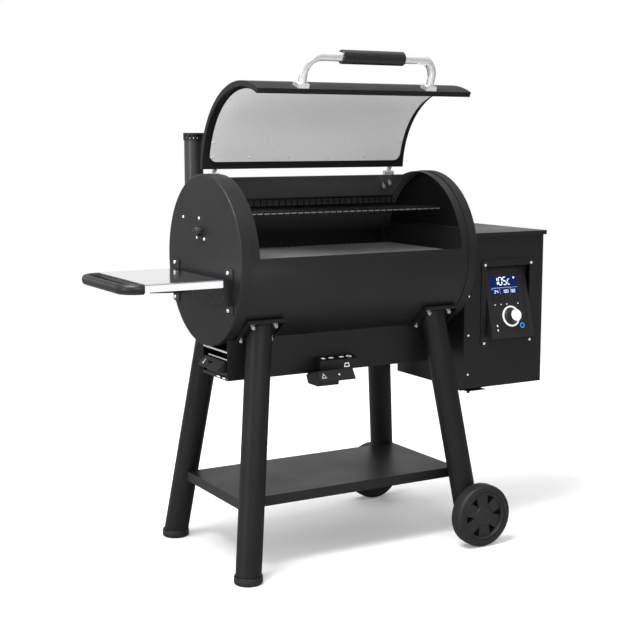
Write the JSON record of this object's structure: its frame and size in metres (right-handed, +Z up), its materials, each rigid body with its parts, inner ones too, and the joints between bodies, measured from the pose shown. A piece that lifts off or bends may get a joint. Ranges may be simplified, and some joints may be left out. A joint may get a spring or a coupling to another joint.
{
  "type": "wood pellet barrel grill and smoker",
  "caption": "Barrel-shaped wood-pellet grill and smoker with a roll-up lid, side hopper with control panel, chimney, side shelf and splayed legs with wheels.",
  "frame": {"origin": "on the floor, under the middle of the overall box; the barrel's middle is above it", "axes": "+X along the barrel towards the hopper, +Y to the back, +Z up"},
  "size_m": [1.432, 0.66, 1.4697],
  "materials": {
    "black_enamel": "satin powder coat, very fine texture",
    "chamber_enamel": "dull heat-proof coating inside the chamber",
    "grate_iron": "matte seasoned",
    "bright_steel": "fine brushed",
    "polished_steel": "polished",
    "aluminised_sheet": "matte, finely speckled",
    "black_resin": "fine grained",
    "grip_resin": "smooth satin",
    "panel_resin": "smooth satin",
    "wheel_resin": "satin",
    "tyre_rubber": "matte",
    "display_gloss": "glossy, lit blue",
    "dark_steel": "blackened"
  },
  "bodies": {
    "cabinet": {"barrel_shell": "black_enamel", "left_end_cap": "black_enamel", "right_end_cap": "black_enamel", "grate_supports": "chamber_enamel", "cooking_grate_left": "grate_iron", "cooking_grate_right": "grate_iron", "warming_rack": "dark_steel", "grease_tray": "dark_steel", "heat_diffuser": "dark_steel", "fire_pot": "dark_steel", "igniter_rod": "bright_steel", "auger_tube": "bright_steel", "auger_motor": "dark_steel", "blower_housing": "dark_steel", "temperature_probe": "black_resin", "chimney_pipe": "black_enamel", "chimney_cap": "black_enamel", "hopper_shell": "black_enamel", "hopper_bin": "bright_steel", "pellet_guard": "dark_steel", "control_bezel": "black_enamel", "control_panel": "panel_resin", "display_window": "display_gloss", "power_inlet": "black_resin", "cabinet_screws": "bright_steel", "lid_hinge_brackets": "polished_steel", "side_shelf_plate": "bright_steel", "shelf_rail": "black_resin", "shelf_brackets": "black_enamel", "front_left_leg": "black_enamel", "rear_left_leg": "black_enamel", "front_right_leg": "black_enamel", "rear_right_leg": "black_enamel", "leg_brackets": "black_enamel", "leg_feet": "black_resin", "wheel_axle": "bright_steel", "lower_shelf": "black_enamel", "trough_housing": "black_enamel"},
    "lid": {"lid_skin": "black_enamel", "lid_frame": "black_enamel", "lid_liner": "aluminised_sheet", "lid_handle_tube": "polished_steel", "lid_handle_grip": "grip_resin", "lid_hinge_leaves": "polished_steel"},
    "hopper_hatch": {"hopper_lid": "black_enamel"},
    "slide_gate": {"dump_slide": "black_enamel"},
    "dial": {"control_dial": "panel_resin"},
    "button_left": {"left_button": "panel_resin"},
    "button_middle": {"middle_button": "panel_resin"},
    "button_right": {"right_button": "panel_resin"},
    "button_set": {"set_button": "panel_resin"},
    "button_power": {"power_button": "panel_resin"},
    "front_wheel": {"front_tyre": "tyre_rubber", "front_hub": "wheel_resin"},
    "rear_wheel": {"rear_tyre": "tyre_rubber", "rear_hub": "wheel_resin"},
    "auger": {"auger_screw": "dark_steel"},
    "fan": {"fan_impeller": "black_resin"},
    "ash_slide": {"ash_cup": "black_enamel"},
    "grease_slide": {"grease_drawer": "black_enamel"}
  },
  "joints": [
    {"name": "lid_hinge", "type": "hinge", "parent": "cabinet", "child": "lid", "pos_m": [0, 0.112, 1.1215], "axis": [1, 0, 0], "range_deg": [0, 65.4]},
    {"name": "hopper_lid_hinge", "type": "hinge", "parent": "cabinet", "child": "hopper_hatch", "pos_m": [0.556, 0.203, 0.927], "axis": [-1, 0, 0], "range_deg": [0, 95]},
    {"name": "dump_gate_slide", "type": "slide", "parent": "cabinet", "child": "slide_gate", "axis": [0, -1, 0], "range_m": [0, 0.06]},
    {"name": "dial_turn", "type": "hinge", "parent": "cabinet", "child": "dial", "pos_m": [0.5754, -0.18969, 0.67823], "axis": [0, -0.9636, 0.2672], "continuous": true},
    {"name": "left_press", "type": "slide", "parent": "cabinet", "child": "button_left", "axis": [0, 0.9636, -0.2672], "range_m": [0, 0.0015], "stiffness_N_per_m": 400},
    {"name": "middle_press", "type": "slide", "parent": "cabinet", "child": "button_middle", "axis": [0, 0.9636, -0.2672], "range_m": [0, 0.0015], "stiffness_N_per_m": 400},
    {"name": "right_press", "type": "slide", "parent": "cabinet", "child": "button_right", "axis": [0, 0.9636, -0.2672], "range_m": [0, 0.0015], "stiffness_N_per_m": 400},
    {"name": "set_press", "type": "slide", "parent": "cabinet", "child": "button_set", "axis": [0, 0.9636, -0.2672], "range_m": [0, 0.0015], "stiffness_N_per_m": 400},
    {"name": "power_press", "type": "slide", "parent": "cabinet", "child": "button_power", "axis": [0, 0.9636, -0.2672], "range_m": [0, 0.0015], "stiffness_N_per_m": 400},
    {"name": "front_wheel_spin", "type": "hinge", "parent": "cabinet", "child": "front_wheel", "pos_m": [0.378, -0.306, 0.0956], "axis": [0, 1, 0], "continuous": true},
    {"name": "rear_wheel_spin", "type": "hinge", "parent": "cabinet", "child": "rear_wheel", "pos_m": [0.378, 0.306, 0.0956], "axis": [0, 1, 0], "continuous": true},
    {"name": "auger_turn", "type": "hinge", "parent": "cabinet", "child": "auger", "pos_m": [0.2, 0, 0.608], "axis": [1, 0, 0], "continuous": true},
    {"name": "fan_spin", "type": "hinge", "parent": "cabinet", "child": "fan", "pos_m": [0.456, 0, 0.521], "axis": [1, 0, 0], "continuous": true},
    {"name": "ash_slide_out", "type": "slide", "parent": "cabinet", "child": "ash_slide", "axis": [0, -1, 0], "range_m": [0, 0.09]},
    {"name": "grease_slide_out", "type": "slide", "parent": "cabinet", "child": "grease_slide", "axis": [-1, 0, 0], "range_m": [0, 0.15]}
  ]
}
